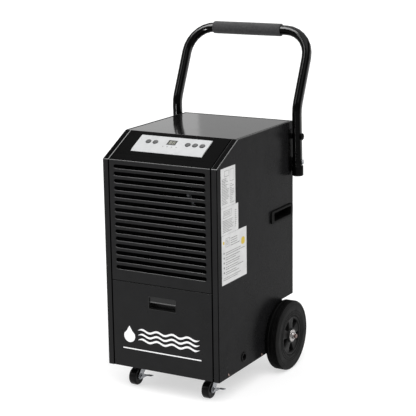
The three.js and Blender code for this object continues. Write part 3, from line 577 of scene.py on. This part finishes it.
def foam_sleeve():
    """Foam grip: slightly uneven cells, soft round ends and a faint crown."""
    inner, outer = TUBE_R + 0.0003, 0.0182
    x0, x1, lip, crown = -0.119, 0.102, 0.0016, 0.0002
    pick = random.Random(31)
    shoulder = lip * 0.3
    profile = [(inner, x0), (outer - lip, x0),
               (outer - shoulder, x0 + shoulder), (outer, x0 + lip)]
    rows = 72
    for i in range(1, rows):
        t = i / rows
        bulge = crown * math.sin(math.pi * t)
        profile.append((outer + bulge, x0 + lip + (x1 - x0 - 2 * lip) * t))
    profile += [(outer, x1 - lip), (outer - shoulder, x1 - shoulder),
                (outer - lip, x1), (inner, x1)]
    skin = range(3, len(profile) - 3)
    swell = {}

    def ripple(i, k):
        if i not in skin:
            return 0.0
        return swell.setdefault((i, k), pick.uniform(-0.00010, 0.00006))

    mesh = turned_mesh("foam_sleeve", profile, (0, BAR_Y, BAR_Z), 48, 60, ripple)
    sleeve = add_piece("foam_sleeve", mesh, "grip_foam", "handle")
    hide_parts("handle_grip")


foam_sleeve()


# ---- tyres ----
TREAD_FROM = 0.097
GROOVE_R = 0.0992
TYRE_IN_X, TYRE_OUT_X = 0.1805, 0.218
GROOVES_X = (0.2105, 0.2062, 0.2019)
# (radius, depth behind the outer or inner side)
OUTER_WALL = (
    (0.0573, 0.0032), (0.0590, 0.0012), (0.0625, 0.0004), (0.0640, 0.0016), (0.0672, 0.0017),
    (0.0684, 0.0005), (0.0705, 0.0003), (0.0716, 0.0012), (0.0735, 0.0012), (0.0745, 0.0002),
    (0.0830, 0.0), (0.0890, 0.0003), (0.0900, 0.0012), (0.0912, 0.0012), (0.0922, 0.0004),
    (0.0955, 0.0009), (0.0985, 0.0018), (0.1004, 0.0036), (0.1012, 0.0056),
)
INNER_WALL = ((0.1014, 0.0050), (0.0995, 0.0014), (0.0950, 0.0), (0.0660, 0.0), (0.0573, 0.0030))


def tyre(side):
    """Tyre with a grooved tread, raised rings on its wall and a bead against the rim."""
    wall = [(r, TYRE_OUT_X - depth) for r, depth in OUTER_WALL]
    tread = []
    for groove in GROOVES_X:
        tread += [(WHEEL_R, groove + 0.0011), (GROOVE_R, groove + 0.0006),
                  (GROOVE_R, groove - 0.0006), (WHEEL_R, groove - 0.0011)]
    tread += [(WHEEL_R, 0.1925), (0.1006, 0.1919), (0.1006, 0.1909), (WHEEL_R, 0.1903)]
    back = [(r, TYRE_IN_X + depth) for r, depth in INNER_WALL]
    profile = [(r, x if side == "right" else -x) for r, x in wall + tread + back]
    mesh = turned_mesh(f"tyre_{side}", profile, (0, WHEEL_Y, WHEEL_R), 112, 28)
    piece = add_piece(f"tyre_{side}", mesh, "tyre_rubber", f"wheel_{side}")
    # The tread faces take a darker, duller copy of the rubber: painted shade.
    mesh.materials.append(FINISH["tread_rubber"])
    for face in mesh.polygons:
        reach = math.hypot(face.center.y - WHEEL_Y, face.center.z - WHEEL_R)
        if abs(face.normal.x) < 0.5 and reach > TREAD_FROM:
            face.material_index = 1
    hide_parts(f"wheel_tyre_{side}")


tyre("left")
tyre("right")

# ---- printed and stuck-on details; prints run from SUNK below their surface to FILM above it ----
FILM = 0.00012
SUNK = -0.00005
REAR_STEP = 0.017  # how far the rear panel stands behind the side panels


def prism_mesh(name, outlines, place, low, high):
    """Closed flat prisms over 2-D outlines, from height low to high in the frame `place`."""
    bm = bmesh.new()
    for outline in outlines:
        bottom = [bm.verts.new(place @ Vector((u, v, low))) for u, v in outline]
        top = [bm.verts.new(place @ Vector((u, v, high))) for u, v in outline]
        bm.faces.new(bottom[::-1])
        bm.faces.new(top)
        for i in range(len(outline)):
            j = (i + 1) % len(outline)
            bm.faces.new((bottom[i], bottom[j], top[j], top[i]))
    return mesh_from(bm, name, 30)


def prints(name, outlines, place, low, high, finish, body="cabinet"):
    return add_piece(name, prism_mesh(name, outlines, place, low, high), finish, body)


def rect(u0, v0, u1, v1):
    return [(u0, v0), (u1, v0), (u1, v1), (u0, v1)]


def rounded(u0, v0, u1, v1, r, steps):
    """A rectangle with round corners."""
    points = []
    corners = ((u1 - r, v0 + r, -90), (u1 - r, v1 - r, 0),
               (u0 + r, v1 - r, 90), (u0 + r, v0 + r, 180))
    for cu, cv, start in corners:
        for i in range(steps + 1):
            a = math.radians(start + 90 * i / steps)
            points.append((cu + r * math.cos(a), cv + r * math.sin(a)))
    return points


def frame_bars(u0, v0, u1, v1, t):
    """A rectangle drawn as four bars."""
    return [rect(u0, v0, u1, v0 + t), rect(u0, v1 - t, u1, v1),
            rect(u0, v0 + t, u0 + t, v1 - t), rect(u1 - t, v0 + t, u1, v1 - t)]


def facing(origin, across, up):
    """Frame whose x runs across, y up and z out of a face."""
    x, y = Vector(across).normalized(), Vector(up).normalized()
    turn = Matrix((x, y, x.cross(y))).transposed().to_4x4()
    return Matrix.Translation(origin) @ turn


ON_FRONT = facing((0, FRONT_Y, 0), (1, 0, 0), (0, 0, 1))
ON_RIGHT = facing((SIDE_X, 0, 0), (0, 1, 0), (0, 0, 1))
ON_LEFT = facing((-SIDE_X, 0, 0), (0, -1, 0), (0, 0, 1))
ON_REAR = facing((0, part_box("side_panel_right")[1].y + REAR_STEP, 0), (-1, 0, 0), (0, 0, 1))
ON_SLOPE = facing((0, FRONT_Y, SLOPE_FOOT_Z), (1, 0, 0), (0, math.cos(TILT), math.sin(TILT)))


def droplet(cu, cv, width, height):
    """A water drop: round below, drawn up to a point."""
    steps = 22
    r = width / 2
    base = cv - height / 2 + r
    points = [(cu, cv + height / 2)]
    for i in range(steps + 1):
        a = math.radians(155 + (385 - 155) * i / steps)
        points.append((cu + r * math.cos(a), base + r * math.sin(a)))
    tip, left = points[:2]
    ease = []
    for k in (0.66, 0.33):
        ease.append((tip[0] + (left[0] - tip[0]) * k * 0.82, tip[1] + (left[1] - tip[1]) * k))
    back = [(2 * cu - u, v) for u, v in reversed(ease)]
    return [tip, *reversed(ease), *points[1:], *reversed(back)]


def wave(u0, u1, v, amplitude, length, thick):
    """A wavy line that thins out towards both ends."""
    steps = 48
    upper, lower = [], []
    for i in range(steps + 1):
        t = i / steps
        u = u0 + (u1 - u0) * t
        mid = v + amplitude * math.sin(2 * math.pi * (u - u0) / length)
        half = thick / 2 * min(1.0, math.sin(math.pi * t) * 4 + 0.12)
        upper.append((u, mid + half))
        lower.append((u, mid - half))
    return lower + upper[::-1]


def tank_emblem():
    """A generic mark in white on the tank: a drop beside three waves, over a stripe."""
    marks = (
        ("drop", [droplet(-0.106, 0.165, 0.036, 0.048)]),
        ("waves", [wave(-0.078, 0.118, z, 0.0036, 0.049, 0.0058) for z in (0.151, 0.165, 0.179)]),
        ("stripe", [rounded(-0.128, 0.1212, 0.123, 0.1244, 0.0006, 2)]),
    )
    for label, outlines in marks:
        prints(f"tank_emblem_{label}", outlines, ON_FRONT, SUNK, FILM, "print_white", "tank")


tank_emblem()


def top_rim_lines():
    """Rolled rim round the top sheet as a thin strip in the painted edge highlight, with a dark
    strip of painted seam shade just inside it.
    """
    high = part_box("top_panel")[1]
    place = facing((0, 0, TOP_Z), (1, 0, 0), (0, 1, 0))
    u, v0, v1 = SIDE_X - 0.0016, SLOPE_HEAD_Y + 0.004, high.y - 0.0010
    rim, seam, inset = 0.0022, 0.0026, 0.0034

    def three_sides(a, b, t):
        return [rect(-a, v0, -a + t, b), rect(a - t, v0, a, b), rect(-a + t, b - t, a - t, b)]

    prints("top_rim_roll", three_sides(u, v1, rim), place, SUNK, 0.0006, "edge_gloss")
    prints("top_rim_seam", three_sides(u - inset, v1 - inset, seam), place, SUNK, FILM, "seam_dark")


top_rim_lines()


def pull_bead():
    """Rounded bead along the lower edge of the flap in the tank's finger pull, in a grey far
    lighter than the pull as a painted highlight.
    """
    y, z, r, sides = -0.2704, 0.2660, 0.0018, 16
    turns = [2 * math.pi * i / sides for i in range(sides)]
    ring = [(y + r * math.cos(a), z + r * math.sin(a)) for a in turns]
    along_x = facing((0, 0, 0), (0, 1, 0), (0, 0, 1))
    prints("tank_pull_bead", [ring], along_x, -0.0385, 0.0435, "bead_grey", "tank")


pull_bead()


def filter_net():
    """Woven net held in the lift-out air filter's frame."""
    low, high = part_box("air_filter")
    place = facing((0, (low.y + high.y) / 2, 0), (-1, 0, 0), (0, 0, 1))
    pitch, wire, edge = 0.005, 0.0007, 0.003
    u0, u1, v0, v1 = -high.x + edge, -low.x - edge, low.z + edge, high.z - edge
    columns = [u0 + pitch * i for i in range(1, int((u1 - u0) / pitch))]
    rows = [v0 + pitch * i for i in range(1, int((v1 - v0) / pitch))]
    up = [rect(u, v0, u + wire, v1) for u in columns]
    across = [rect(u0, v, u1, v + wire) for v in rows]
    prints("filter_net_upright", up, place, -0.0005, 0.0001, "net_grey", "filter")
    prints("filter_net_across", across, place, -0.0001, 0.0005, "net_grey", "filter")


filter_net()


def text_lines(seed, u0, u1, v0, v1, pitch, height, fill=0.85):
    """Rows of short bars that read as small print without any lettering."""
    pick = random.Random(seed)
    bars = []
    v = v1 - pitch
    while v > v0:
        u = u0
        end = u0 + (u1 - u0) * pick.uniform(fill - 0.35, 1.0)
        while u < end - 0.002:
            word = min(pick.uniform(0.003, 0.010), end - u)
            bars.append(rect(u, v, u + word, v + height))
            u += word + pick.uniform(0.0009, 0.0016)
        v -= pitch
    return bars


LABELS = (
    (-0.25335, 0.5455, -0.17335, 0.652),
    (-0.25335, 0.4705, -0.15835, 0.545),
    (-0.25235, 0.334, -0.11235, 0.470),
)
LABEL_THICK = 0.00018
COLOUR_SPOTS = ((-0.13285, 0.434, 0.020), (-0.24135, 0.450, 0.008))


def side_labels():
    """Three labels on the right side with boxes and bars in place of pictures and print."""
    ink0, ink1 = LABEL_THICK - 0.00004, LABEL_THICK + 0.00005
    for i, (u0, v0, u1, v1) in enumerate(LABELS):
        prints(f"side_label_{i + 1}", [rounded(u0, v0, u1, v1, 0.0012, 3)], ON_RIGHT, SUNK,
               LABEL_THICK, "label_vinyl")
    u0, v0, u1, v1 = LABELS[0]
    ink = frame_bars(u0 + 0.020, v1 - 0.024, u0 + 0.044, v1 - 0.008, 0.0009)
    ink += frame_bars(u0 + 0.050, v1 - 0.040, u1 - 0.007, v1 - 0.008, 0.0007)
    ink += text_lines(3, u0 + 0.006, u0 + 0.046, v0 + 0.006, v1 - 0.026, 0.0042, 0.0015)
    ink += text_lines(4, u0 + 0.050, u1 - 0.006, v0 + 0.006, v1 - 0.044, 0.0050, 0.0014, 0.7)
    prints("side_label_1_print", ink, ON_RIGHT, ink0, ink1, "label_ink")
    u0, v0, u1, v1 = LABELS[1]
    ink = frame_bars(u0 + 0.012, v1 - 0.028, u0 + 0.058, v1 - 0.009, 0.0009)
    ink += text_lines(5, u0 + 0.015, u0 + 0.056, v1 - 0.026, v1 - 0.011, 0.0038, 0.0013)
    ink += text_lines(6, u0 + 0.008, u1 - 0.024, v0 + 0.006, v1 - 0.032, 0.0044, 0.0015)
    ink += text_lines(7, u1 - 0.019, u1 - 0.006, v0 + 0.010, v1 - 0.012, 0.0056, 0.0016, 0.9)
    prints("side_label_2_print", ink, ON_RIGHT, ink0, ink1, "label_ink")
    u0, v0, u1, v1 = LABELS[2]
    ink = frame_bars(u0 + 0.022, v1 - 0.034, u0 + 0.044, v1 - 0.010, 0.0009)
    ink += text_lines(8, u0 + 0.024, u0 + 0.042, v1 - 0.032, v1 - 0.012, 0.0040, 0.0013)
    ink += text_lines(9, u0 + 0.050, u1 - 0.036, v1 - 0.040, v1 - 0.010, 0.0062, 0.0018)
    for row in range(5):
        v = v1 - 0.049 - row * 0.0135
        ink.append(rounded(u0 + 0.010, v - 0.0025, u0 + 0.0155, v + 0.0030, 0.0025, 3))
        ink += text_lines(10 + row, u0 + 0.022, u1 - 0.010, v - 0.0085, v + 0.0045, 0.0058, 0.0017)
    ink += text_lines(20, u0 + 0.008, u1 - 0.030, v0 + 0.008, v0 + 0.022, 0.0050, 0.0015)
    prints("side_label_3_print", ink, ON_RIGHT, ink0, ink1, "label_ink")
    patches = [rounded(cu - w / 2, cv - w / 2, cu + w / 2, cv + w / 2, w / 3, 4)
               for cu, cv, w in COLOUR_SPOTS]
    prints("side_label_colour_spots", patches, ON_RIGHT, ink0, ink1 + 0.00003, "label_yellow")


side_labels()


KEYS_X = (-0.0768, -0.0545, 0.0473, 0.0698, 0.0924)
LAMPS_X = (-0.023, -0.0096, 0.0046, 0.0187)
DIGITS_X = (-0.0083, 0.0018)
DIGITS_V = 0.0905


def overlay_prints():
    """Generic marks on the control overlay: dashes under the keys and lamps, a box, two digits."""
    low, high = BEZEL_N - 0.00003, BEZEL_N + 0.00007
    marks = [rect(x - 0.0052, 0.0738, x + 0.0052, 0.0750) for x in KEYS_X]
    marks += [rect(x - 0.0032, 0.0648, x + 0.0032, 0.0657) for x in LAMPS_X]
    marks += frame_bars(-0.1045, 0.0920, -0.0945, 0.1020, 0.0007)
    marks += [rect(-0.1045, 0.0700 + 0.0045 * i, -0.0945, 0.0709 + 0.0045 * i) for i in range(4)]
    prints("overlay_marks", marks, ON_SLOPE, low, high, "print_grey")
    segments = []
    w, h, t, g = 0.0062, 0.0118, 0.0013, 0.0003
    v0 = DIGITS_V - h / 2
    for cu in DIGITS_X:
        for v in (v0, v0 + (h - t) / 2, v0 + h - t):
            segments.append(rect(cu - w / 2 + t + g, v, cu + w / 2 - t - g, v + t))
        for u in (cu - w / 2, cu + w / 2 - t):
            segments.append(rect(u, v0 + g, u + t, v0 + (h - g) / 2 - g))
            segments.append(rect(u, v0 + (h + g) / 2 + g, u + t, v0 + h - g))
    low, high = BEZEL_N - 0.00033, BEZEL_N - 0.00022
    prints("display_segments", segments, ON_SLOPE, low, high, "digit_print")


overlay_prints()


def screw_mesh(name, r, height, recess):
    """Pan-head screw along +z with a cross recess, its underside at z = 0."""
    sides = 24
    bm = bmesh.new()
    profile = [(r, 0.0), (r, height * 0.35), (r * 0.93, height * 0.62), (r * 0.72, height * 0.88)]
    turns = [2 * math.pi * i / sides for i in range(sides)]
    rings = [[bm.verts.new((q * math.cos(a), q * math.sin(a), h)) for a in turns]
             for q, h in profile]
    bm.faces.new(rings[0][::-1])
    for a, b in zip(rings, rings[1:]):
        for i in range(sides):
            j = (i + 1) % sides
            bm.faces.new((a[i], a[j], b[j], b[i]))
    arm, half = r * 0.55, r * 0.13
    cross = []
    for quarter in range(4):
        a = math.pi / 2 * quarter
        for u, v in ((arm, -half), (arm, half), (half, half)):
            cross.append((u * math.cos(a) - v * math.sin(a), u * math.sin(a) + v * math.cos(a)))
    top = height * 0.97
    rim = [bm.verts.new((u, v, top)) for u, v in cross]
    floor = [bm.verts.new((u * 0.8, v * 0.8, top - recess)) for u, v in cross]
    outer = rings[-1]
    for i in range(len(cross)):
        j = (i + 1) % len(cross)
        bm.faces.new((rim[i], rim[j], floor[j], floor[i]))
        around = [outer[(2 * i + k) % sides] for k in (-1, 0, 1)]
        bm.faces.new((*around, rim[j], rim[i]))
    bm.faces.new(floor)
    bmesh.ops.triangulate(bm, faces=[f for f in bm.faces if len(f.verts) > 4])
    return mesh_from(bm, name, 38)


SIDE_SCREWS = ((-0.22135, 0.0745), (-0.02435, 0.0725))
REAR_SCREWS_U = 0.166
REAR_SCREWS_V = (0.214, 0.380, 0.540, 0.704)


def screws():
    bright = screw_mesh("screw_head_bright", 0.0036, 0.0021, 0.0011)
    dark = screw_mesh("screw_head_dark", 0.0034, 0.0018, 0.0010)
    rear_spots = [(s * REAR_SCREWS_U, v) for s in (-1, 1) for v in REAR_SCREWS_V]
    groups = [("right", ON_RIGHT, SIDE_SCREWS, bright, "bolt_end"),
              ("left", ON_LEFT, [(-u, v) for u, v in SIDE_SCREWS], bright, "bolt_end"),
              ("rear", ON_REAR, rear_spots, dark, "motor_paint")]
    for label, place, spots, mesh, finish in groups:
        for i, (u, v) in enumerate(spots):
            turn = Matrix.Rotation(0.5 + 1.3 * i, 4, "Z")
            screw = bpy.data.objects.new(f"screw_{label}_{i + 1}", mesh.copy())
            screw.data.transform(place @ Matrix.Translation((u, v, 0)) @ turn)
            screw.data.materials.append(FINISH[finish])
            scene.collection.objects.link(screw)
            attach(screw, "cabinet")


screws()

# ---- CAD nodes that are shown as they are ----
for node_name, finish in BY_NODE.items():
    materials = frame["nodes"][node_name].data.materials
    materials.clear()
    materials.append(FINISH[finish])


# ---- floor and light ----
FLOOR_REACH = 60.0
FLOOR_GLOW = 0.58
SUNS = (
    ("key", (-0.45, 0.55, -1.0), 1.7, 50),
    ("fill", (0.8, 0.4, -0.9), 0.9, 60),
)
TUBE = ["handle_tube_finished"]


def make_floor():
    """White paper floor that glows a little, so that it stays nearly white."""
    mesh = bpy.data.meshes.new("floor")
    square = ((-1, -1), (1, -1), (1, 1), (-1, 1))
    corners = [(u * FLOOR_REACH, v * FLOOR_REACH, 0) for u, v in square]
    mesh.from_pydata(corners, [], [(0, 1, 2, 3)])
    floor = bpy.data.objects.new("floor", mesh)
    paper = surface("floor_paper", grey(0.485), grey(0.505), (0.8, 0.9), specular=0.1, mottle=2,
                    grain=60)
    glow = paper.node_tree.nodes["Principled BSDF"].inputs
    glow["Emission Color"].default_value = (1, 1, 1, 1)
    glow["Emission Strength"].default_value = FLOOR_GLOW
    mesh.materials.append(paper)
    scene.collection.objects.link(floor)


def aim(lamp, direction):
    lamp.rotation_euler = Vector(direction).to_track_quat("-Z", "Y").to_euler()


def make_suns():
    for name, direction, strength, angle in SUNS:
        light = bpy.data.lights.new(name, "SUN")
        light.energy = strength
        light.angle = math.radians(angle)
        lamp = bpy.data.objects.new(name, light)
        aim(lamp, direction)
        scene.collection.objects.link(lamp)


def soft_box(name, place, target, width, height, watts, only=None, past_cabinet=False):
    """A soft box seen in reflections only, by the pieces in `only` alone where it is given.

    With `past_cabinet` nothing but those pieces stands in its way.
    """
    light = bpy.data.lights.new(name, "AREA")
    light.shape = "RECTANGLE"
    light.size, light.size_y, light.energy = width, height, watts
    box = bpy.data.objects.new(name, light)
    box.location = place
    aim(box, Vector(target) - Vector(place))
    box.visible_camera = False
    box.visible_diffuse = False
    scene.collection.objects.link(box)
    if only:
        receivers = bpy.data.collections.new(name + "_receivers")
        for piece in only:
            receivers.objects.link(bpy.data.objects[piece])
        box.light_linking.receiver_collection = receivers
        if past_cabinet:
            box.light_linking.blocker_collection = receivers


def make_world():
    world = bpy.data.worlds.new("studio")
    scene.world = world
    world.use_nodes = True
    background = world.node_tree.nodes["Background"].inputs
    background["Color"].default_value = (1, 1, 1, 1)
    background["Strength"].default_value = 0.6
    scene.view_settings.view_transform = "Standard"


make_floor()
make_suns()
soft_box("ceiling", (0, 0.2, 4.0), (0, 0.2, 0), 5.0, 5.0, 400)
soft_box("low_strip", (-0.45, -1.75, 0.28), (0.2, 0.165, 0.6), 0.16, 0.6, 70, TUBE, True)
soft_box("high_strip", (-1.15, -1.15, 1.95), (0, 0.25, 0.95), 0.3, 0.9, 26, TUBE)
soft_box("bar_box", (-1.0, -0.65, 2.7), (0, 0.25, 0.95), 1.3, 1.3, 420, TUBE)
soft_box("rim_wall", (2.3, 1.9, 0.9), (0.2, 0.2, 0.85), 3.0, 2.2, 190, TUBE)
soft_box("back_glow", (-2.2, 2.2, 1.35), (-0.1, -0.1, 0.72), 1.6, 1.2, 2, ["top_panel_finished"])
make_world()
